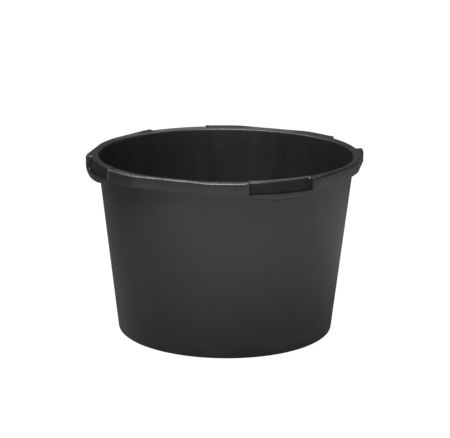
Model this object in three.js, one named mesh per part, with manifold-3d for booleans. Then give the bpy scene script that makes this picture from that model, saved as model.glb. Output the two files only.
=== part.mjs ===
// A round 40-litre mortar mixing tub, moulded in black polyethylene.
// Millimetres, +Z up. The origin is the middle of the standing face.
// The four grips stand on the +X, +Y, -X and -Y axes.

import * as THREE from 'three';
import { mergeVertices } from 'three/addons/utils/BufferGeometryUtils.js';
import Module from 'manifold-3d';

// Driving dimensions of the bowl
const HEIGHT = 312;
const BASE_RADIUS = 187;
const MOUTH_RADIUS = 221.75;
const WALL = 2.5;
const FLOOR = 3;
const FLOOR_RAISE = 3;
const FOOT_INNER_RADIUS = 168;
const FOOT_TOP = 16;
const CORNER_ROUND = 5;
const INNER_ROUND = 8;
const FLOOR_RADIUS = 176;
const CLEARANCE = 0.3;

// Driving dimensions of the rim
const FLANGE = 3;
const SKIRT_BOTTOM = 291;
const RIM_RADIUS = 232;
const LUG_RADIUS = 241;

// Driving dimensions of the grips, with angles in degrees from a grip's middle
const GRIP_COUNT = 4;
const GRIP_PITCH = 360 / GRIP_COUNT;
const GRIP_HALF_ANGLE = 13;
const PANEL_FLARE = 2.8;
const BAR_BOTTOM = 280;
const BAR_TIP_DEPTH = 1.75;
const BAR_REACH = 15.2;

// A lug keeps its full radius up to its shoulder. Its straight flank ends at its tail.
const SHORT_LUG = { shoulder: 16.5, tail: 38.3, tailRadius: 232.5 };
const LONG_LUG = { shoulder: 29.5, tail: 39.5, tailRadius: 232 };

// Fineness of the round stretches
const TURN_STEPS = 96;
const ARC_STEP = 360 / TURN_STEPS;
const CORNER_STEPS = 4;

// Corners closer than this are one corner.
const MERGE_DISTANCE = 1e-4;

const INNER_RIM_RADIUS = outerRadius(HEIGHT - FLANGE) - WALL;
const PANEL_INNER_RADIUS = RIM_RADIUS - WALL;
const PANEL_FOOT_RADIUS = RIM_RADIUS + PANEL_FLARE;
const SKIRT_INNER_RADIUS = LUG_RADIUS - WALL;

const wasm = await Module();
wasm.setup();

// Radius of the bowl's outer face at a height
function outerRadius(z) {
  return BASE_RADIUS + (MOUTH_RADIUS - BASE_RADIUS) * (z / HEIGHT);
}

// A point of the plan view, by radius and angle in degrees
function polar(radius, degrees) {
  const angle = THREE.MathUtils.degToRad(degrees);
  return new THREE.Vector2(radius * Math.cos(angle), radius * Math.sin(angle));
}

// Points of an arc round the tub's axis, with both ends and the middle included
function arc(radius, from, to) {
  const steps = 2 * Math.ceil(Math.abs(to - from) / (2 * ARC_STEP));
  const points = [];
  for (let i = 0; i <= steps; i += 1) {
    points.push(polar(radius, from + ((to - from) * i) / steps));
  }
  return points;
}

// Plan outline of the rim's edge from one grip to the next one, drawn inset by a wall or not
function lugOutline(start, lug, inset) {
  const end = start + GRIP_PITCH;
  return [
    ...arc(LUG_RADIUS - inset, start + GRIP_HALF_ANGLE, start + lug.shoulder),
    ...arc(lug.tailRadius - inset, start + lug.tail, end - lug.tail),
    ...arc(LUG_RADIUS - inset, end - lug.shoulder, end - GRIP_HALF_ANGLE),
  ];
}

// The lugs are long in two opposite spaces between grips, and short in the other two.
function lugAfterGrip(index) {
  return index % 2 === 0 ? LONG_LUG : SHORT_LUG;
}

// Points of a quarter round in a section, as radius and height pairs, with angles in degrees
function sectionArc(centreRadius, centreHeight, radius, from, to) {
  const points = [];
  for (let i = 0; i <= CORNER_STEPS; i += 1) {
    const angle = THREE.MathUtils.degToRad(from + ((to - from) * i) / CORNER_STEPS);
    points.push([centreRadius + radius * Math.cos(angle), centreHeight + radius * Math.sin(angle)]);
  }
  return points;
}

// A plate or a standing wall: a plan outline raised from one height to another
function raise(outline, bottom, top, holes = []) {
  const shape = new THREE.Shape(outline);
  shape.holes = holes.map((hole) => new THREE.Path(hole));
  const geometry = new THREE.ExtrudeGeometry(shape, { depth: top - bottom, bevelEnabled: false });
  return geometry.translate(0, 0, bottom);
}

// Spreads the lower end of a standing wall outward, as the draft of its mould does
function flare(geometry, bottom, top, spread) {
  const position = geometry.attributes.position;
  for (let i = 0; i < position.count; i += 1) {
    const share = (top - position.getZ(i)) / (top - bottom);
    const radius = Math.hypot(position.getX(i), position.getY(i));
    const factor = 1 + (share * spread) / radius;
    position.setXY(i, position.getX(i) * factor, position.getY(i) * factor);
  }
  return geometry;
}

// A ring turned round the tub's axis from a section given as radius and height pairs
function turn(section) {
  const points = section.map(([radius, z]) => new THREE.Vector2(radius, z));
  return new THREE.LatheGeometry(points, TURN_STEPS).rotateX(Math.PI / 2);
}

// A manifold solid from a closed geometry
function solid(geometry) {
  const bare = geometry.clone();
  bare.deleteAttribute('normal');
  bare.deleteAttribute('uv');
  const merged = mergeVertices(bare, MERGE_DISTANCE);
  const mesh = new wasm.Mesh({
    numProp: 3,
    vertProperties: new Float32Array(merged.attributes.position.array),
    triVerts: new Uint32Array(merged.index.array),
  });
  return new wasm.Manifold(mesh);
}

// A geometry from a manifold solid
function toGeometry(body) {
  const mesh = body.getMesh();
  const geometry = new THREE.BufferGeometry();
  geometry.setAttribute('position', new THREE.BufferAttribute(mesh.vertProperties, 3));
  geometry.setIndex(new THREE.BufferAttribute(mesh.triVerts, 1));
  geometry.computeVertexNormals();
  return geometry;
}

function plastic(color, roughness) {
  return new THREE.MeshStandardMaterial({ color, roughness, metalness: 0 });
}

const outsideFinish = plastic(0x2b2b2c, 0.5);
const insideFinish = plastic(0x1c1c1d, 0.6);
const rimFinish = plastic(0x333334, 0.4);

const group = new THREE.Group();

function addPiece(name, geometry, material) {
  const mesh = new THREE.Mesh(geometry, material);
  mesh.name = name;
  group.add(mesh);
}

// The floor is a disc that is held off the ground by the foot ring.
function floorDisc() {
  const top = FLOOR_RAISE + FLOOR;
  return turn([
    [0, FLOOR_RAISE],
    [FLOOR_RADIUS, FLOOR_RAISE],
    [FLOOR_RADIUS, top],
    [0, top],
  ]);
}

// The foot ring is the tub's rounded bottom corner, with the flat face that it stands on.
function footRing() {
  const floorTop = FLOOR_RAISE + FLOOR;
  const gapRadius = FLOOR_RADIUS + CLEARANCE;
  const outerCentre = outerRadius(CORNER_ROUND) - CORNER_ROUND;
  const innerHeight = floorTop + INNER_ROUND;
  const innerCentre = outerRadius(innerHeight) - WALL - INNER_ROUND;
  return turn([
    [FOOT_INNER_RADIUS, 0],
    ...sectionArc(outerCentre, CORNER_ROUND, CORNER_ROUND, -90, 0),
    [outerRadius(FOOT_TOP), FOOT_TOP],
    [outerRadius(FOOT_TOP) - WALL, FOOT_TOP],
    ...sectionArc(innerCentre, innerHeight, INNER_ROUND, 0, -90),
    [gapRadius, floorTop],
    [gapRadius, FLOOR_RAISE],
    [FOOT_INNER_RADIUS, FLOOR_RAISE],
    [FOOT_INNER_RADIUS, 0],
  ]);
}

// The side wall is a plain cone shell from the foot ring to the flange.
function sideWall() {
  const top = HEIGHT - FLANGE;
  return turn([
    [outerRadius(FOOT_TOP) - WALL, FOOT_TOP],
    [outerRadius(FOOT_TOP), FOOT_TOP],
    [outerRadius(top), top],
    [outerRadius(top) - WALL, top],
    [outerRadius(FOOT_TOP) - WALL, FOOT_TOP],
  ]);
}

// The flange is the flat top of the rim. Its edge is set back at each grip.
function rimFlange() {
  const outline = [];
  for (let i = 0; i < GRIP_COUNT; i += 1) {
    const start = i * GRIP_PITCH;
    outline.push(...arc(RIM_RADIUS, start - GRIP_HALF_ANGLE, start + GRIP_HALF_ANGLE));
    outline.push(...lugOutline(start, lugAfterGrip(i), 0));
  }
  const mouth = arc(INNER_RIM_RADIUS, 0, 360).slice(1);
  return raise(outline, HEIGHT - FLANGE, HEIGHT, [mouth]);
}

// A skirt is the turned-down edge of the rim between two grips.
function rimSkirt(index) {
  const start = index * GRIP_PITCH;
  const lug = lugAfterGrip(index);
  const outline = [...lugOutline(start, lug, 0), ...lugOutline(start, lug, WALL).reverse()];
  return raise(outline, SKIRT_BOTTOM, HEIGHT - FLANGE);
}

// A grip end is the upright wall between a lug's skirt and the set-back wall of the recess.
// Side is 1 for the end further round from +X to +Y, and -1 for the other end.
function gripEnd(index, side) {
  const depth = SKIRT_INNER_RADIUS - CLEARANCE - PANEL_INNER_RADIUS;
  const start = side > 0 ? 0 : -WALL;
  const end = new THREE.BoxGeometry(depth, WALL, HEIGHT - FLANGE - SKIRT_BOTTOM);
  end.translate(
    PANEL_INNER_RADIUS + depth / 2,
    start + WALL / 2,
    (SKIRT_BOTTOM + HEIGHT - FLANGE) / 2,
  );
  return end.rotateZ(THREE.MathUtils.degToRad(index * GRIP_PITCH + side * GRIP_HALF_ANGLE));
}

// A grip panel is the set-back wall of the recess.
function gripPanel(index) {
  const middle = index * GRIP_PITCH;
  const top = HEIGHT - FLANGE;
  const outline = arc(RIM_RADIUS, middle - GRIP_HALF_ANGLE, middle + GRIP_HALF_ANGLE);
  outline.push(...arc(PANEL_INNER_RADIUS, middle + GRIP_HALF_ANGLE, middle - GRIP_HALF_ANGLE));
  return flare(raise(outline, SKIRT_BOTTOM, top), SKIRT_BOTTOM, top, PANEL_FLARE);
}

// A band between two radii under a grip, cut to hang down like a smile and raised by a lift
function hangingBand(inner, outer, reach, lift) {
  const outline = [...arc(outer, -reach, reach), ...arc(inner, reach, -reach)];
  const band = raise(outline, BAR_BOTTOM, SKIRT_BOTTOM);
  const halfWidth = polar(LUG_RADIUS, BAR_REACH).y;
  const tip = SKIRT_BOTTOM - BAR_TIP_DEPTH + lift;
  const smile = new THREE.Shape();
  smile.moveTo(-halfWidth, SKIRT_BOTTOM + lift);
  smile.lineTo(-halfWidth, tip);
  smile.quadraticCurveTo(0, 2 * (BAR_BOTTOM + lift) - tip, halfWidth, tip);
  smile.lineTo(halfWidth, SKIRT_BOTTOM + lift);
  const cutter = new THREE.ExtrudeGeometry(smile, {
    depth: LUG_RADIUS + WALL,
    curveSegments: 2 * CORNER_STEPS,
    bevelEnabled: false,
  });
  cutter.rotateX(Math.PI / 2).rotateZ(Math.PI / 2);
  return solid(band).intersect(solid(cutter));
}

// A grip bar bridges two lugs under the recess. It's a trough with a narrow channel in its top,
// so the hand holds a thick rounded edge made of thin walls.
function gripBar(index) {
  const body = hangingBand(PANEL_FOOT_RADIUS - WALL, LUG_RADIUS, BAR_REACH, 0);
  const channel = hangingBand(PANEL_FOOT_RADIUS, SKIRT_INNER_RADIUS, GRIP_HALF_ANGLE, WALL);
  const bar = toGeometry(body.subtract(channel));
  return bar.rotateZ(THREE.MathUtils.degToRad(index * GRIP_PITCH));
}

addPiece('floor', floorDisc(), insideFinish);
addPiece('foot_ring', footRing(), outsideFinish);
addPiece('side_wall', sideWall(), outsideFinish);
addPiece('rim_flange', rimFlange(), rimFinish);
for (let i = 0; i < GRIP_COUNT; i += 1) {
  addPiece(`rim_skirt_${i + 1}`, rimSkirt(i), rimFinish);
  addPiece(`grip_panel_${i + 1}`, gripPanel(i), rimFinish);
  addPiece(`grip_end_${i + 1}_left`, gripEnd(i, -1), rimFinish);
  addPiece(`grip_end_${i + 1}_right`, gripEnd(i, 1), rimFinish);
  addPiece(`grip_bar_${i + 1}`, gripBar(i), rimFinish);
}

export default group;
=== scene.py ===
"""A black polyethylene mortar mixing tub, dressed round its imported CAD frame. Metres, +Z up."""
from collections import namedtuple
import math

import bmesh
import bpy
import numpy as np
from mathutils import Matrix, Vector


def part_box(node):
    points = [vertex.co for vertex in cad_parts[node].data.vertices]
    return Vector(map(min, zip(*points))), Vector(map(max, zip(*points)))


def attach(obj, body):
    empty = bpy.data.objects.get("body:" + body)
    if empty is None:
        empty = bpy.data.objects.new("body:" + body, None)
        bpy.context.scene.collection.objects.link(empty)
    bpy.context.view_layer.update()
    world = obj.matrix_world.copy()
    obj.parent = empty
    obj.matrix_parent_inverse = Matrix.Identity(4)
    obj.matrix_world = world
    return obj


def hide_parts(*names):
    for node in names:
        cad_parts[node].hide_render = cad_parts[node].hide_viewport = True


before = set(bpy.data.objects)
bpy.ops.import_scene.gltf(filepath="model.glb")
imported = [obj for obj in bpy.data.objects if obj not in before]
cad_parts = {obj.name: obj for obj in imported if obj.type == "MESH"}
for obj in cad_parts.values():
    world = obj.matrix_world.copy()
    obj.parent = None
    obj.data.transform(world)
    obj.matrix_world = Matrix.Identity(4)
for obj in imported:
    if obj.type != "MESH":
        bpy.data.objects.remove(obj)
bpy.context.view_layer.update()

MM = 0.001
BODY = "root"

# ---------------------------------------------------------------- sizes, read from the CAD frame
floor_low, floor_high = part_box("floor")
foot_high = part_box("foot_ring")[1]
wall_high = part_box("side_wall")[1]
flange_low, flange_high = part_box("rim_flange")
skirt_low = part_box("rim_skirt_1")[0]
panel_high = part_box("grip_panel_1")[1]
bar_low, bar_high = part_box("grip_bar_1")

TOP = flange_high.z
FLANGE_UNDER = flange_low.z
SKIRT_BOTTOM = skirt_low.z
BAR_BOTTOM = bar_low.z
FOOT_TOP = foot_high.z
FLOOR_UNDER = floor_low.z
FLOOR_TOP = floor_high.z
FLOOR_RADIUS = floor_high.x
WALL_FOOT_RADIUS = foot_high.x
WALL_TOP_RADIUS = wall_high.x
PANEL_FOOT_RADIUS = panel_high.x
LUG_RADIUS = bar_high.x
GRIP_HALF = math.asin(panel_high.y / PANEL_FOOT_RADIUS)
BAR_HALF = math.asin(bar_high.y / LUG_RADIUS)

# ---------------------------------------------------------------- fine shape, which only the looks need
GRIPS = 4
PITCH = 2 * math.pi / GRIPS
WALL = 2.5 * MM
JOINT_GAP = 0.3 * MM

# Bottom: roundings of the corner and the round gate mark under the floor
CORNER_ROUND = 5.0 * MM
INNER_ROUND = 8.0 * MM
FOOT_INNER_RADIUS = 168 * MM
FINE_ROUND = 0.9 * MM
MARK_RADIUS = 14 * MM
MARK_DEPTH = 0.5 * MM
GATE_RADIUS = 4 * MM
GATE_LENGTH = 1.2 * MM
GATE_TAPER = 0.6 * MM

# Rim: the outer edge, the rounded lip of the mouth and the fall of the top toward it
RIM_RADIUS = 232.0 * MM
PANEL_FLARE = PANEL_FOOT_RADIUS - RIM_RADIUS
EDGE_ROUND = 5.0 * MM
LIP_ROUND = 4.0 * MM
MOUTH_DROP = 2.0 * MM
CROWN_POWER = 1.5
CROWN_SHARES = (0.08, 0.3, 0.55, 0.8, 1.0)
LIP_CENTRE = TOP - MOUTH_DROP - LIP_ROUND

# Rim at a tight outer corner: a smaller rounding, blended into the full one within a reach
ROUND_LIMIT = 0.9
BLEND_REACH = 6 * MM

# Step from a recess out to a lug
STEP_OUTER_ROUND = 2.2 * MM
STEP_INNER_ROUND = 1.4 * MM
STEP_DRAFT = math.radians(8)

# Bar of a grip
BAR_FULLNESS = 0.8
BAR_ROUND = 1.1 * MM
BAR_LOWER_ROUND = 2.8 * MM
BAR_INNER_ROUND = 1.6 * MM
BAR_DRAFT = math.tan(math.radians(4))
BAR_TIP = 0.4 * MM
BAR_JOIN = math.radians(1)
CHANNEL_ROUND = 0.7 * MM
CHANNEL_END_GAP = math.radians(0.3)
CHANNEL_END_RISE = math.radians(0.6)
LEAST_CHANNEL = 0.02 * MM
LEAST_ROUND = 0.005 * MM
ROUND_SHARE = 0.45
CHANNEL_ROUND_SHARE = 0.4

# A lug keeps its full radius up to its shoulder. Its straight flank ends at its tail.
Lug = namedtuple("Lug", "shoulder tail tail_radius softness")
SHORT_LUG = Lug(math.radians(16.5), math.radians(38.3), 232.5 * MM, math.radians(0.8))
LONG_LUG = Lug(math.radians(29.5), math.radians(39.5), RIM_RADIUS, math.radians(1.6))

# ---------------------------------------------------------------- fineness of the meshes
TURNS = 288
WALL_BANDS = 12
ROUND_STEPS = 6
OUTER_CORNER_POINTS = 9
RIM_EDGE_POINTS = 8
EDGE_RINGS = 4
BAR_SLICES = 96
OUTLINE_PACE = math.radians(0.5)
FINE_SHARES = (0.15, 0.4, 0.7)
FLANK_SHARES = (0.33, 0.67)
SOFTENING_SAMPLES = 9
SHARP_ANGLE = math.radians(38)

# Lengths too small to see, which keep neighbouring points and rings apart
MERGE_DISTANCE = 1e-7
AXIS_RADIUS = 1e-9
RING_GAP = 1e-6
SQUARE_ROUND = 0.01 * MM
STRAIGHT_TURN = 1e-6


def outer_radius(z):
    """Radius of the bowl's outer face at a height."""
    slope = (WALL_TOP_RADIUS - WALL_FOOT_RADIUS) / (FLANGE_UNDER - FOOT_TOP)
    return WALL_FOOT_RADIUS + slope * (z - FOOT_TOP)


def inner_radius(z):
    """Radius of the bowl's inner face at a height. It opens out into the rounded lip of the mouth."""
    above = max(z - LIP_CENTRE, 0)
    return outer_radius(z) - WALL + LIP_ROUND - math.sqrt(max(LIP_ROUND ** 2 - above ** 2, 0))


# ---------------------------------------------------------------- mesh helpers
def object_from(bm, name, node, material):
    """Turns a bmesh into a finished piece that stands for one CAD node."""
    bmesh.ops.remove_doubles(bm, verts=bm.verts, dist=MERGE_DISTANCE)
    bmesh.ops.recalc_face_normals(bm, faces=bm.faces)
    mesh = bpy.data.meshes.new(name)
    bm.to_mesh(mesh)
    bm.free()
    mesh.polygons.foreach_set("use_smooth", [True] * len(mesh.polygons))
    mesh.set_sharp_from_angle(angle=SHARP_ANGLE)
    piece = bpy.data.objects.new(name, mesh)
    bpy.context.scene.collection.objects.link(piece)
    mesh.materials.append(material)
    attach(piece, BODY)
    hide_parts(node)
    return piece


def loft(rings, closed_path):
    """A closed solid from rings[section point][path point]. The section always closes on itself."""
    bm = bmesh.new()
    rings = np.asarray(rings)
    grid = [[bm.verts.new(point) for point in ring] for ring in rings]
    count, length = rings.shape[0], rings.shape[1]
    last = length if closed_path else length - 1
    for i in range(count):
        ring, following = grid[i], grid[(i + 1) % count]
        for j in range(last):
            k = (j + 1) % length
            bm.faces.new((ring[j], ring[k], following[k], following[j]))
    if not closed_path:
        bm.faces.new([ring[0] for ring in grid])
        bm.faces.new([ring[-1] for ring in reversed(grid)])
    return bm


def turned(section):
    """A solid turned round the tub's axis from radius and height pairs."""
    angles = np.linspace(0, 2 * math.pi, TURNS, endpoint=False)
    rings = [
        np.stack([radius * np.cos(angles), radius * np.sin(angles), np.full(TURNS, z)], axis=1)
        for radius, z in section
    ]
    return loft(rings, True)


def arc(centre, radius, start, end):
    """Points of a round stretch in a section, angles in degrees."""
    angles = np.radians(np.linspace(start, end, ROUND_STEPS + 1))
    return [(centre[0] + radius * math.cos(angle), centre[1] + radius * math.sin(angle))
            for angle in angles]


def smooth_rise(low, high, value):
    """0 below low, 1 above high and a smooth rise between."""
    share = np.clip((value - low) / (high - low), 0, 1)
    return share * share * (3 - 2 * share)


# ---------------------------------------------------------------- plan outline of the rim
def chord(angle, near, far):
    """Radius, at an angle, of the straight line between two polar points (radius, angle)."""
    top = near[0] * far[0] * math.sin(far[1] - near[1])
    return top / (near[0] * math.sin(angle - near[1]) + far[0] * math.sin(far[1] - angle))


def sharp_lug_radius(angle, lug):
    """Radius of the rim beyond a grip's end, with sharp corners at the lug's shoulder and tail."""
    if angle <= lug.shoulder:
        return LUG_RADIUS
    if angle >= lug.tail:
        return lug.tail_radius
    return chord(angle, (LUG_RADIUS, lug.shoulder), (lug.tail_radius, lug.tail))


def lug_radius(angle, lug):
    """The same radius with the shoulder and the tail rounded off."""
    shifts = np.linspace(-lug.softness, lug.softness, SOFTENING_SAMPLES)
    return float(np.mean([sharp_lug_radius(angle + shift, lug) for shift in shifts]))


def step_points():
    """The step from a recess out to a lug: (way round, way out) pairs, with both corners rounded."""
    rise = LUG_RADIUS - RIM_RADIUS
    lean = math.pi / 2 - STEP_DRAFT
    points = []
    for angle in np.linspace(0, lean, ROUND_STEPS + 1):
        points.append((STEP_INNER_ROUND * math.sin(angle), STEP_INNER_ROUND * (1 - math.cos(angle))))
    low = points[-1]
    flank_end = rise - STEP_OUTER_ROUND * (1 - math.cos(lean))
    run = (flank_end - low[1]) / math.tan(lean)
    centre = low[0] + run + STEP_OUTER_ROUND * math.sin(lean)
    for share in FLANK_SHARES:
        points.append((low[0] + run * share, low[1] + (flank_end - low[1]) * share))
    for angle in np.linspace(lean, 0, OUTER_CORNER_POINTS):
        points.append((centre - STEP_OUTER_ROUND * math.sin(angle),
                       rise - STEP_OUTER_ROUND * (1 - math.cos(angle))))
    return points


def half_gap(lug):
    """(angle, radius, region) from the middle of a grip to the middle of the next space."""
    begin = GRIP_HALF - STEP_INNER_ROUND / RIM_RADIUS
    panel_angles = np.arange(0, begin - OUTLINE_PACE / 2, OUTLINE_PACE)
    path = [(angle, RIM_RADIUS, "panel") for angle in panel_angles]
    for along, out in step_points():
        path.append((begin + along / RIM_RADIUS, RIM_RADIUS + out, "end"))
    end = path[-1][0]
    for share in FINE_SHARES:
        path.append((end + OUTLINE_PACE * share, LUG_RADIUS, "skirt"))
    for angle in np.arange(end + OUTLINE_PACE, PITCH / 2 - OUTLINE_PACE / 4, OUTLINE_PACE):
        path.append((angle, lug_radius(angle, lug), "skirt"))
    path.append((PITCH / 2, lug_radius(PITCH / 2, lug), "skirt"))
    return path


def lug_after(grip):
    """The lugs are long in two opposite spaces between grips, and short in the other two."""
    return LONG_LUG if grip % 2 == 0 else SHORT_LUG


def rim_outline():
    """The whole closed outline: angles, points, outward normals, regions and grip or space numbers."""
    angles, radii, regions, owners = [], [], [], []
    for grip in range(GRIPS):
        middle = grip * PITCH
        for angle, radius, region in reversed(half_gap(lug_after(grip - 1))[1:]):
            angles.append(middle - angle)
            radii.append(radius)
            regions.append(region + ("left" if region == "end" else ""))
            owners.append((grip - 1) % GRIPS + 1 if region == "skirt" else grip + 1)
        for angle, radius, region in half_gap(lug_after(grip))[:-1]:
            angles.append(middle + angle)
            radii.append(radius)
            regions.append(region + ("right" if region == "end" else ""))
            owners.append(grip + 1)
    angles, radii = np.array(angles), np.array(radii)
    points = np.stack([radii * np.cos(angles), radii * np.sin(angles)], axis=1)
    ahead = np.roll(points, -1, axis=0) - points
    ahead /= np.linalg.norm(ahead, axis=1)[:, None]
    along = ahead + np.roll(ahead, 1, axis=0)
    along /= np.linalg.norm(along, axis=1)[:, None]
    normals = np.stack([along[:, 1], -along[:, 0]], axis=1)
    return angles, points, normals, regions, owners


ANGLES, POINTS, NORMALS, REGIONS, OWNERS = rim_outline()


def corner_room():
    """How large an edge rounding each outline point allows, small at the tight outer corners."""
    behind = POINTS - np.roll(POINTS, 1, axis=0)
    ahead = np.roll(POINTS, -1, axis=0) - POINTS
    behind_length = np.linalg.norm(behind, axis=1)
    ahead_length = np.linalg.norm(ahead, axis=1)
    turn = behind[:, 0] * ahead[:, 1] - behind[:, 1] * ahead[:, 0]
    angle = np.arcsin(np.clip(turn / (behind_length * ahead_length), -1, 1))
    step = (behind_length + ahead_length) / 2
    radius = np.where(angle > STRAIGHT_TURN, step / np.maximum(angle, STRAIGHT_TURN), 1.0)
    room = np.minimum(EDGE_ROUND, ROUND_LIMIT * radius)
    blended = room.copy()
    for i, point in enumerate(POINTS):
        away = np.linalg.norm(POINTS - point, axis=1)
        near = away < BLEND_REACH
        share = (away[near] / BLEND_REACH) ** 2
        blended[i] = np.min(room[near] * (1 - share) + EDGE_ROUND * share)
    return blended


def lean_weights():
    """How much of the recess wall's outward lean each outline point takes: none on the lugs."""
    radii = np.linalg.norm(POINTS, axis=1)
    share = np.clip((LUG_RADIUS - radii) / (LUG_RADIUS - RIM_RADIUS), 0, 1)
    return np.where([region == "skirt" for region in REGIONS], 0, share)


ROOM = corner_room()
LEANS = lean_weights()


def inset_ring(inset, z, pick=slice(None)):
    """A ring of points that follows the outline, moved inward by an inset, at a height."""
    height = np.broadcast_to(z, len(ANGLES))[pick]
    depth = np.maximum(FLANGE_UNDER - height, 0) / (FLANGE_UNDER - SKIRT_BOTTOM)
    outward = POINTS[pick] / np.linalg.norm(POINTS[pick], axis=1)[:, None]
    place = POINTS[pick] - NORMALS[pick] * np.broadcast_to(inset, len(ANGLES))[pick, None]
    place = place + outward * (PANEL_FLARE * depth * LEANS[pick])[:, None]
    return np.column_stack([place, height])


def round_ring(radius, z):
    """A ring of points on a circle round the tub's axis, at the outline's own angles."""
    return np.column_stack([radius * np.cos(ANGLES), radius * np.sin(ANGLES), np.full(len(ANGLES), z)])


# ---------------------------------------------------------------- the bowl's pieces
def build_floor(material):
    """The bottom plate, with the small round mark of the moulding gate at its middle."""
    mark_top = FLOOR_UNDER + MARK_DEPTH
    gate_end = mark_top - GATE_LENGTH
    edge = FLOOR_RADIUS + JOINT_GAP
    section = [(AXIS_RADIUS, gate_end), (GATE_RADIUS - GATE_TAPER, gate_end), (GATE_RADIUS, mark_top)]
    section += [(MARK_RADIUS, mark_top), (MARK_RADIUS + MARK_DEPTH, FLOOR_UNDER)]
    section += [(edge, FLOOR_UNDER), (edge, FLOOR_TOP), (AXIS_RADIUS, FLOOR_TOP)]
    return object_from(turned(section), "floor_plate", "floor", material)


def build_foot(material):
    """The rounded bottom corner, from the standing face up to where the plain wall starts."""
    lean = math.atan2(WALL_TOP_RADIUS - WALL_FOOT_RADIUS, FLANGE_UNDER - FOOT_TOP)
    lean_degrees = math.degrees(lean)
    drop = CORNER_ROUND * math.sin(lean)
    centre = (outer_radius(CORNER_ROUND - drop) - CORNER_ROUND * math.cos(lean), CORNER_ROUND)
    inner_height = FLOOR_TOP + INNER_ROUND
    inner_drop = INNER_ROUND * math.sin(lean)
    inner_centre = (outer_radius(inner_height - inner_drop) - WALL
                    - INNER_ROUND * math.cos(lean), inner_height)
    section = arc((FOOT_INNER_RADIUS + FINE_ROUND, FINE_ROUND), FINE_ROUND, 180, 270)
    section += arc(centre, CORNER_ROUND, 270, 360 - lean_degrees)
    section += [(outer_radius(FOOT_TOP), FOOT_TOP), (outer_radius(FOOT_TOP) - WALL, FOOT_TOP)]
    section += arc(inner_centre, INNER_ROUND, -lean_degrees, -90)
    edge = FLOOR_RADIUS + JOINT_GAP
    section += [(edge, FLOOR_TOP), (edge, FLOOR_UNDER), (FOOT_INNER_RADIUS, FLOOR_UNDER)]
    return object_from(turned(section), "foot_ring_corner", "foot_ring", material)


def build_wall(material):
    """The plain tapered wall."""
    heights = np.linspace(FOOT_TOP, FLANGE_UNDER, WALL_BANDS + 1)
    section = [(outer_radius(z), z) for z in heights]
    lip = np.linspace(FLANGE_UNDER, LIP_CENTRE, ROUND_STEPS)
    section += [(inner_radius(z), z) for z in lip]
    inside = np.linspace(LIP_CENTRE, FOOT_TOP, WALL_BANDS + 1)
    section += [(inner_radius(z), z) for z in inside[1:]]
    return object_from(turned(section), "side_wall_shell", "side_wall", material)


# ---------------------------------------------------------------- the rim's pieces
def edge_inset(z):
    """How far the rounded outer edge of the rim stands back at a height."""
    above = np.clip(z - (TOP - ROOM), 0, ROOM)
    return ROOM - np.sqrt(np.maximum(ROOM ** 2 - above ** 2, 0))


def build_flange(material):
    """The top of the rim. It falls a little toward the mouth and is rounded over both edges."""
    rings = [inset_ring(edge_inset(FLANGE_UNDER), FLANGE_UNDER)]
    start = np.arcsin(np.clip((FLANGE_UNDER - TOP + ROOM) / ROOM, 0, 1))
    for share in np.linspace(0, 1, RIM_EDGE_POINTS):
        angle = start + (math.pi / 2 - start) * share
        rings.append(inset_ring(ROOM * (1 - np.cos(angle)), TOP - ROOM * (1 - np.sin(angle))))
    crest = rings[-1]
    mouth = round_ring(inner_radius(TOP - MOUTH_DROP), TOP - MOUTH_DROP)
    for share in CROWN_SHARES:
        ring = crest * (1 - share) + mouth * share
        ring[:, 2] = TOP - MOUTH_DROP * share ** CROWN_POWER
        rings.append(ring)
    for z in np.linspace(TOP - MOUTH_DROP, FLANGE_UNDER, ROUND_STEPS)[1:]:
        rings.append(round_ring(inner_radius(z), z))
    return object_from(loft(rings, True), "rim_flange_top", "rim_flange", material)


def stretch(region, owner):
    """The outline's points of one region. A panel or a skirt takes one more at each end."""
    inside = [there == region and whose == owner for there, whose in zip(REGIONS, OWNERS)]
    count = len(inside)
    first = next(i for i in range(count) if inside[i] and not inside[i - 1])
    picked = [i % count for i in range(first, first + sum(inside))]
    if region in ("panel", "skirt"):
        picked = [(first - 1) % count] + picked + [(picked[-1] + 1) % count]
    return np.array(picked)


def from_grip(pick):
    """Each picked point's angle from the middle of the nearest grip."""
    turn = (ANGLES[pick] + PITCH / 2) % PITCH - PITCH / 2
    return np.abs(turn)


def band_rings(pick, rounding):
    """A standing band under the rim's top that follows the outline, with a rounded lower edge."""
    spread = np.zeros(len(ANGLES))
    spread[pick] = rounding
    edge_start = np.minimum(TOP - ROOM, FLANGE_UNDER)
    rings = []
    for share in np.linspace(0, 1, EDGE_RINGS):
        z = FLANGE_UNDER + (edge_start - FLANGE_UNDER) * share
        rings.append(inset_ring(edge_inset(z), z - RING_GAP * share, pick))
    bend = np.linspace(0, math.pi / 2, ROUND_STEPS)
    for angle in bend:
        z = SKIRT_BOTTOM + spread * (1 - math.sin(angle))
        rings.append(inset_ring(spread * (1 - math.cos(angle)), z, pick))
    for angle in bend[::-1]:
        z = SKIRT_BOTTOM + spread * (1 - math.sin(angle))
        rings.append(inset_ring(WALL - spread * (1 - math.cos(angle)), z, pick))
    rings.append(inset_ring(WALL, FLANGE_UNDER, pick))
    return rings


def build_skirt(number, material):
    """The turned-down edge of the rim between two grips, with a square lower edge where a bar joins it."""
    pick = stretch("skirt", number)
    rounding = FINE_ROUND * smooth_rise(BAR_HALF, BAR_HALF + BAR_JOIN, from_grip(pick))
    bm = loft(band_rings(pick, np.maximum(rounding, SQUARE_ROUND)), False)
    return object_from(bm, f"rim_skirt_{number}_band", f"rim_skirt_{number}", material)


def build_panel(number, material):
    """The set-back wall of a grip's recess."""
    bm = loft(band_rings(stretch("panel", number), SQUARE_ROUND), False)
    return object_from(bm, f"grip_panel_{number}_wall", f"grip_panel_{number}", material)


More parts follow.
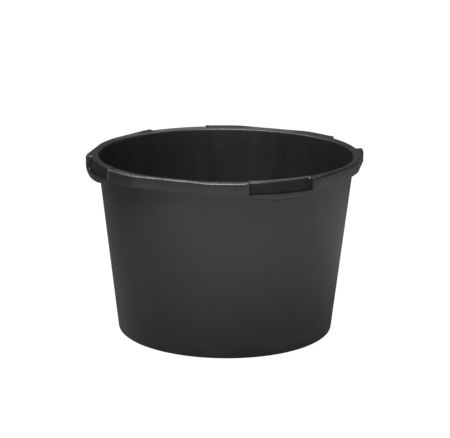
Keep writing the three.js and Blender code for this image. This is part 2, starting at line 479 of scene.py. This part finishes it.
def build_end(number, side, material):
    """The end of a grip: the step from the recess out to the lug."""
    bm = loft(band_rings(stretch("end" + side, number), SQUARE_ROUND), False)
    name = f"grip_end_{number}_{side}"
    return object_from(bm, f"{name}_wall", name, material)


# ---------------------------------------------------------------- the bars of the grips
def bar_depth(turn):
    """How far a bar hangs below the skirt, at an angle from its middle."""
    share = np.minimum(np.abs(turn) / BAR_HALF, 1)
    return np.maximum((SKIRT_BOTTOM - BAR_BOTTOM) * (1 - share * share) ** BAR_FULLNESS, BAR_TIP)


def outside_line(inset, z):
    """A line of a bar, measured inward from its outer face, which leans in toward its foot."""
    return np.stack([LUG_RADIUS - inset - BAR_DRAFT * (SKIRT_BOTTOM - z), z])


def inside_line(outset, z):
    """A line of a bar, measured outward from its inner face, which goes on with the panel's lean."""
    lean = PANEL_FLARE / (FLANGE_UNDER - SKIRT_BOTTOM)
    return np.stack([PANEL_FOOT_RADIUS - WALL + outset + lean * (SKIRT_BOTTOM - z), z])


def rounded_lines(line, edge, face, height, way_in, way_up, order):
    """Lines of a quarter round between a face and a level, in the order of the section."""
    lines = []
    for angle in order:
        away = face + way_in * edge * (1 - math.cos(angle))
        lines.append(line(away, height + way_up * edge * (1 - math.sin(angle))))
    return lines


def build_bar(number, material):
    """The bar under a recess: a trough flush with the lugs, rounded, and deepest at its middle."""
    turn = np.linspace(-BAR_HALF, BAR_HALF, BAR_SLICES + 1)
    angles = (number - 1) * PITCH + turn
    depth = bar_depth(turn)
    open_share = smooth_rise(0, CHANNEL_END_RISE, GRIP_HALF - CHANNEL_END_GAP - np.abs(turn))
    channel = np.maximum((depth - WALL) * open_share, LEAST_CHANNEL)
    lower = np.minimum(BAR_LOWER_ROUND, ROUND_SHARE * depth)
    inner = np.minimum(BAR_INNER_ROUND, ROUND_SHARE * depth)
    hollow = np.minimum(CHANNEL_ROUND, CHANNEL_ROUND_SHARE * channel)
    upper = np.minimum(np.maximum(BAR_ROUND * open_share, LEAST_ROUND), ROUND_SHARE * channel)
    bottom = SKIRT_BOTTOM - depth
    bed = SKIRT_BOTTOM - channel
    level = np.full(len(turn), SKIRT_BOTTOM)
    down = np.linspace(0, math.pi / 2, ROUND_STEPS)
    back = down[::-1]

    section = rounded_lines(outside_line, lower, 0, bottom, 1, 1, down)
    section += rounded_lines(inside_line, inner, 0, bottom, 1, 1, back)
    section += [inside_line(0, level), inside_line(WALL, level)]
    section += rounded_lines(inside_line, hollow, WALL, bed, 1, 1, down)
    section += rounded_lines(outside_line, hollow, WALL, bed, 1, 1, back)
    section += rounded_lines(outside_line, upper, WALL, SKIRT_BOTTOM, -1, -1, down)
    section += rounded_lines(outside_line, upper, 0, SKIRT_BOTTOM, 1, -1, back)
    rings = []
    for radius, z in section:
        rings.append(np.column_stack([radius * np.cos(angles), radius * np.sin(angles), z]))
    bm = loft(rings, False)
    return object_from(bm, f"grip_bar_{number}_rail", f"grip_bar_{number}", material)


# ---------------------------------------------------------------- materials
# A noise pattern: the stretch of its space, its waves per metre, its detail and the detail's strength
Grain = namedtuple("Grain", "stretch waves detail strength")
FLOW = Grain((1, 1, 0.1), 42, 5, 0.6)
PATCHES = Grain((1, 1, 1), 8, 3, 0.5)
WAVES = Grain((1, 1, 0.5), 16, 1, 0.4)
UPRIGHT_MARKS = Grain((1, 1, 0.06), 330, 3, 0.55)
LEVEL_MARKS = Grain((0.12, 0.12, 1), 420, 3, 0.55)
RUBBED_PLACES = Grain((1, 1, 1), 11, 2, 0.5)
PORE_DETAIL = 2
PORE_STRENGTH = 0.6

# Where a pattern's value starts and stops to count
FLOW_SHARE = 0.6
HAZE_RANGE = (0.35, 0.65)
SHEEN_RANGE = (0.3, 0.7)
PLACES_RANGE = (0.5, 0.62)
UPRIGHT_RANGE = (0.71, 0.76)
LEVEL_RANGE = (0.66, 0.71)
EDGE_RANGE = (0.53, 0.6)
WEAR_RANGE = (0.45, 0.65)

# Strength of the marks in colour, sheen and relief
RUB_SHARE = 0.6
WORN_SHARE = 0.35
WORN_COLOUR = (0.07, 0.07, 0.072, 1)
BLUE_CAST = 1.04
SHEEN_SWING = 0.05
MARK_DULLNESS = 0.14
WAVE_DEPTH = 0.6 * MM
WAVE_STRENGTH = 0.35
RUB_DEPTH = 0.01 * MM
RELIEF_STRENGTH = 0.5
REFRACTION = 1.5


class Nodes:
    """A small hand for building one node tree."""

    def __init__(self, tree):
        self.tree = tree

    def feed(self, socket, value):
        """Links a socket to another node's output, or sets it to a plain value."""
        if isinstance(value, bpy.types.NodeSocket):
            self.tree.links.new(value, socket)
        else:
            socket.default_value = value

    def add(self, kind, settings=None, **inputs):
        """A new node with its settings, and with its named inputs fed."""
        node = self.tree.nodes.new(kind)
        for name, value in (settings or {}).items():
            setattr(node, name, value)
        for name, value in inputs.items():
            self.feed(node.inputs[name.replace("_", " ")], value)
        return node

    def feed_all(self, node, *values):
        """Feeds a node's first inputs in their order."""
        for socket, value in zip(node.inputs, values):
            self.feed(socket, value)
        return node

    def noise(self, grain):
        """A grain's value over the tub's own coordinates in metres."""
        place = self.add("ShaderNodeTexCoord").outputs["Object"]
        place = self.add("ShaderNodeMapping", Vector=place, Scale=grain.stretch).outputs["Vector"]
        node = self.add("ShaderNodeTexNoise", Vector=place, Scale=grain.waves, Detail=grain.detail,
                        Roughness=grain.strength)
        return node.outputs["Fac"]

    def spread(self, value, from_low, from_high, low=0.0, high=1.0):
        """A value's range moved to another range, and held inside it."""
        node = self.add("ShaderNodeMapRange", Value=value, From_Min=from_low, From_Max=from_high,
                        To_Min=low, To_Max=high)
        return node.outputs["Result"]

    def math(self, operation, first, second):
        node = self.add("ShaderNodeMath", {"operation": operation})
        return self.feed_all(node, first, second).outputs["Value"]

    def measure(self, operation, *vectors):
        """A number taken from vectors, such as a length."""
        node = self.add("ShaderNodeVectorMath", {"operation": operation})
        return self.feed_all(node, *vectors).outputs["Value"]

    def colour_mix(self, share, first, second):
        """Two colours blended. The node has further sockets of the same names for other kinds of data."""
        node = self.add("ShaderNodeMix", {"data_type": "RGBA"})
        self.feed(node.inputs[0], share)
        colours = [socket for socket in node.inputs if socket.type == "RGBA"]
        self.feed(colours[0], first)
        self.feed(colours[1], second)
        return next(socket for socket in node.outputs if socket.type == "RGBA")

    def shader_mix(self, share, first, second):
        return self.feed_all(self.add("ShaderNodeMixShader"), share, first, second).outputs[0]

    def bump(self, height, distance, strength, normal=None):
        inputs = {"Normal": normal} if normal is not None else {}
        node = self.add("ShaderNodeBump", Height=height, Distance=distance, Strength=strength, **inputs)
        return node.outputs["Normal"]


def scuffs(nodes, grain, mark_range):
    """Short thin rub marks that run along one direction: 0 on clean plastic and up to 1 on a mark."""
    marks = nodes.spread(nodes.noise(grain), *mark_range)
    return nodes.math("MULTIPLY", marks, nodes.spread(nodes.noise(RUBBED_PLACES), *PLACES_RANGE))


def near_black(tone):
    """A dark grey with a faint blue cast."""
    return (tone, tone, tone * BLUE_CAST, 1)


def polyethylene(name, tone, roughness, haze, pore_size, pore_depth, gloss):
    """Moulded black polyethylene: faint flow haze, fine pores, slow waves, scuffs and worn edges."""
    material = bpy.data.materials.new(name)
    material.use_nodes = True
    nodes = Nodes(material.node_tree)
    shader = material.node_tree.nodes["Principled BSDF"]

    patches = nodes.noise(PATCHES)
    mixed = nodes.math("ADD", nodes.math("MULTIPLY", nodes.noise(FLOW), FLOW_SHARE),
                       nodes.math("MULTIPLY", patches, 1 - FLOW_SHARE))
    rubbed = nodes.math("MAXIMUM", scuffs(nodes, UPRIGHT_MARKS, UPRIGHT_RANGE),
                        scuffs(nodes, LEVEL_MARKS, LEVEL_RANGE))
    convex = nodes.add("ShaderNodeNewGeometry").outputs["Pointiness"]
    worn = nodes.math("MULTIPLY", nodes.spread(convex, *EDGE_RANGE), nodes.spread(patches, *WEAR_RANGE))
    marked = nodes.math("MAXIMUM", nodes.math("MULTIPLY", rubbed, RUB_SHARE), worn)

    clean = nodes.colour_mix(nodes.spread(mixed, *HAZE_RANGE),
                             near_black(tone * (1 - haze)), near_black(tone * (1 + haze)))
    aged = nodes.colour_mix(nodes.math("MULTIPLY", marked, WORN_SHARE), clean, WORN_COLOUR)
    nodes.feed(shader.inputs["Base Color"], aged)

    sheen = nodes.spread(mixed, *SHEEN_RANGE, roughness - SHEEN_SWING, roughness + SHEEN_SWING)
    dulled = nodes.math("ADD", sheen, nodes.math("MULTIPLY", marked, MARK_DULLNESS))
    nodes.feed(shader.inputs["Roughness"], dulled)

    pores = Grain((1, 1, 1), 1 / pore_size, PORE_DETAIL, PORE_STRENGTH)
    relief = nodes.bump(nodes.noise(WAVES), WAVE_DEPTH, WAVE_STRENGTH)
    relief = nodes.bump(nodes.noise(pores), pore_depth, RELIEF_STRENGTH, relief)
    relief = nodes.bump(nodes.math("MULTIPLY", rubbed, -1.0), RUB_DEPTH, RELIEF_STRENGTH, relief)
    nodes.feed(shader.inputs["Normal"], relief)
    nodes.feed(shader.inputs["IOR"], REFRACTION)
    nodes.feed(shader.inputs["Specular IOR Level"], gloss)
    return material


bowl = polyethylene("bowl_polyethylene", tone=0.008, roughness=0.37, haze=0.15,
                    pore_size=0.7 * MM, pore_depth=0.02 * MM, gloss=0.5)
rim = polyethylene("rim_polyethylene", tone=0.008, roughness=0.34, haze=0.15,
                   pore_size=0.6 * MM, pore_depth=0.006 * MM, gloss=0.5)
# Recess walls: a darker copy of the rim plastic; its lower tone is painted shade of the recesses.
grip = polyethylene("grip_polyethylene_painted_shade", tone=0.006, roughness=0.45, haze=0.2,
                    pore_size=0.5 * MM, pore_depth=0.03 * MM, gloss=0.3)

build_floor(bowl)
build_foot(bowl)
build_wall(bowl)
build_flange(rim)
for number in range(1, GRIPS + 1):
    build_skirt(number, rim)
    build_panel(number, grip)
    build_bar(number, rim)
    build_end(number, "left", grip)
    build_end(number, "right", grip)


# ---------------------------------------------------------------- stage, light and camera
VIEW_AZIMUTH = math.radians(-22.5)
CAMERA_DISTANCE = 2.6687
CAMERA_HEIGHT = 0.8781
CAMERA_PITCH = math.radians(14.42)
CAMERA_ROLL = math.radians(0.395)
LENS = 126.5
SENSOR = 36
SIDE_SHIFT = -0.0011

# The floor: what a camera ray sees of it, and how its tone falls toward the tub and the back: a painted
# contact shadow near the tub, and painted light falloff toward the back left
FLOOR_REACH = 20
FLOOR_OPENING = 0.18
FLOOR_GAP = 0.3 * MM
FLOOR_SIDES = 64
FLOOR_ROUGHNESS = 0.9
FLOOR_GLOSS = 0.2
WHITE = (1, 1, 1, 1)
CAMERA_WHITE = 1.2
SHADOWLESS_SHARE = 0.85
PAINTED_LIGHT_SIDE = math.radians(30)
PAINTED_LIGHT_REACH = (-0.5, 0.6)
PAINTED_FLOOR_TONES = (0.12, 0.6)
PAINTED_SHADOW_REACH = (0.2, 0.65)
PAINTED_SHADOW_SHARE = 0.46

# The air: its glow by height, over and under the floor, and the side where it is dark
GLOW_RISE = (0.55, 0.85)
GLOWS = (0.12, 1.1)
GLOW_BELOW = 0.6
GLOW_FALL = (-0.3, 0.0)
DARK_SIDE = math.radians(-80)
DARK_FADE = (0.1, 0.9)
DARK_SHARE = 0.3

LIGHT_AIM = Vector((0, 0, 0.2))


def toward(azimuth):
    """The level direction at an azimuth counted from the camera, positive to the picture's right."""
    turned_azimuth = VIEW_AZIMUTH + azimuth
    return Vector((math.sin(turned_azimuth), -math.cos(turned_azimuth), 0))


def floor_mesh():
    """A wide ring that faces up, open under the tub."""
    bm = bmesh.new()
    for reach in (FLOOR_OPENING, FLOOR_REACH):
        bmesh.ops.create_circle(bm, segments=FLOOR_SIDES, radius=reach)
    bmesh.ops.bridge_loops(bm, edges=bm.edges[:])
    bm.normal_update()
    if bm.faces[:][0].normal.z < 0:
        bmesh.ops.reverse_faces(bm, faces=bm.faces[:])
    mesh = bpy.data.meshes.new("studio_floor")
    bm.to_mesh(mesh)
    bm.free()
    return mesh


def floor_with_painted_shade():
    """A pale floor, nearly without shadow to a camera above it, and clear to one below it. Its base
    colour, seen in reflections, holds a painted shadow near the tub and painted light falloff toward the
    back left.
    """
    material = bpy.data.materials.new("studio_white")
    material.use_nodes = True
    nodes = Nodes(material.node_tree)
    shader = material.node_tree.nodes["Principled BSDF"]
    spot = nodes.add("ShaderNodeTexCoord").outputs["Object"]
    # painted light falloff: the floor's colour is lighter to the front right and darker to the back left
    ahead = nodes.measure("DOT_PRODUCT", spot, toward(PAINTED_LIGHT_SIDE))
    # painted contact shadow: the floor's colour darkens toward the tub
    near = nodes.spread(nodes.measure("LENGTH", spot), *PAINTED_SHADOW_REACH, PAINTED_SHADOW_SHARE, 1.0)
    tone = nodes.math("MULTIPLY", nodes.spread(ahead, *PAINTED_LIGHT_REACH, *PAINTED_FLOOR_TONES), near)
    nodes.feed(shader.inputs["Base Color"], tone)
    nodes.feed(shader.inputs["Roughness"], FLOOR_ROUGHNESS)
    nodes.feed(shader.inputs["Specular IOR Level"], FLOOR_GLOSS)

    camera_ray = nodes.add("ShaderNodeLightPath").outputs["Is Camera Ray"]
    lit = nodes.add("ShaderNodeEmission", Color=WHITE, Strength=CAMERA_WHITE)
    share = nodes.math("MULTIPLY", camera_ray, SHADOWLESS_SHARE)
    above = nodes.shader_mix(share, shader.outputs[0], lit.outputs[0])
    from_below = nodes.add("ShaderNodeNewGeometry").outputs["Backfacing"]
    clear = nodes.add("ShaderNodeBsdfTransparent")
    both = nodes.shader_mix(from_below, above, clear.outputs[0])
    nodes.feed(material.node_tree.nodes["Material Output"].inputs["Surface"], both)
    return material


def build_stage():
    """The floor, a hair under the standing face, so that the two never share a plane."""
    ground = bpy.data.objects.new("studio_floor", floor_mesh())
    ground.location.z = -FLOOR_GAP
    ground.data.materials.append(floor_with_painted_shade())
    bpy.context.scene.collection.objects.link(ground)


def build_world():
    """A studio that is white to the camera. Its glow rises with height and is dark on one side."""
    world = bpy.data.worlds.new("studio_air")
    bpy.context.scene.world = world
    world.use_nodes = True
    nodes = Nodes(world.node_tree)
    shader = world.node_tree.nodes["Background"]
    ray = nodes.add("ShaderNodeTexCoord").outputs["Generated"]
    height = nodes.add("ShaderNodeSeparateXYZ", Vector=ray).outputs["Z"]
    rising = nodes.spread(height, *GLOW_RISE, *GLOWS)
    sideways = nodes.measure("DOT_PRODUCT", ray, toward(DARK_SIDE))
    shade = nodes.spread(sideways, *DARK_FADE, 1.0, DARK_SHARE)
    beneath = nodes.spread(height, *GLOW_FALL, GLOW_BELOW, 0.0)
    walls = nodes.math("ADD", nodes.math("MULTIPLY", rising, shade), beneath)
    camera_ray = nodes.add("ShaderNodeLightPath").outputs["Is Camera Ray"]
    seen = nodes.math("MAXIMUM", nodes.math("MULTIPLY", camera_ray, CAMERA_WHITE), walls)
    nodes.feed(shader.inputs["Strength"], seen)
    nodes.feed(shader.inputs["Color"], WHITE)


def area_light(name, azimuth, distance, height, size, power):
    """A soft box that faces the tub. Its azimuth is in degrees to the right of the camera."""
    data = bpy.data.lights.new(name, "AREA")
    data.shape = "RECTANGLE"
    data.size, data.size_y = size
    data.energy = power
    lamp = bpy.data.objects.new(name, data)
    lamp.location = toward(math.radians(azimuth)) * distance + Vector((0, 0, height))
    lamp.rotation_euler = (LIGHT_AIM - lamp.location).to_track_quat("-Z", "Y").to_euler()
    bpy.context.scene.collection.objects.link(lamp)


def build_camera():
    """The camera of the picture: it looks down at the tub, with a small roll and a small side shift."""
    data = bpy.data.cameras.new("camera")
    data.lens = LENS
    data.sensor_width = SENSOR
    data.shift_x = SIDE_SHIFT
    camera = bpy.data.objects.new("camera", data)
    back = toward(0)
    right = Vector((0, 0, 1)).cross(back)
    look_back = back * math.cos(CAMERA_PITCH) + Vector((0, 0, 1)) * math.sin(CAMERA_PITCH)
    up = look_back.cross(right)
    turned_right = right * math.cos(CAMERA_ROLL) + up * math.sin(CAMERA_ROLL)
    turned_up = up * math.cos(CAMERA_ROLL) - right * math.sin(CAMERA_ROLL)
    place = back * CAMERA_DISTANCE + Vector((0, 0, CAMERA_HEIGHT))
    camera.matrix_world = Matrix((
        (turned_right.x, turned_up.x, look_back.x, place.x),
        (turned_right.y, turned_up.y, look_back.y, place.y),
        (turned_right.z, turned_up.z, look_back.z, place.z),
        (0, 0, 0, 1),
    ))
    bpy.context.scene.collection.objects.link(camera)
    bpy.context.scene.camera = camera


build_stage()
build_world()
area_light("front_strip", azimuth=-18, distance=1.2, height=2.0, size=(2.3, 0.5), power=88)
area_light("left_strip", azimuth=-95, distance=1.3, height=1.6, size=(1.2, 0.3), power=12)
area_light("back_softbox", azimuth=165, distance=0.9, height=1.7, size=(0.9, 0.9), power=4)
build_camera()
bpy.context.scene.view_settings.view_transform = "Standard"
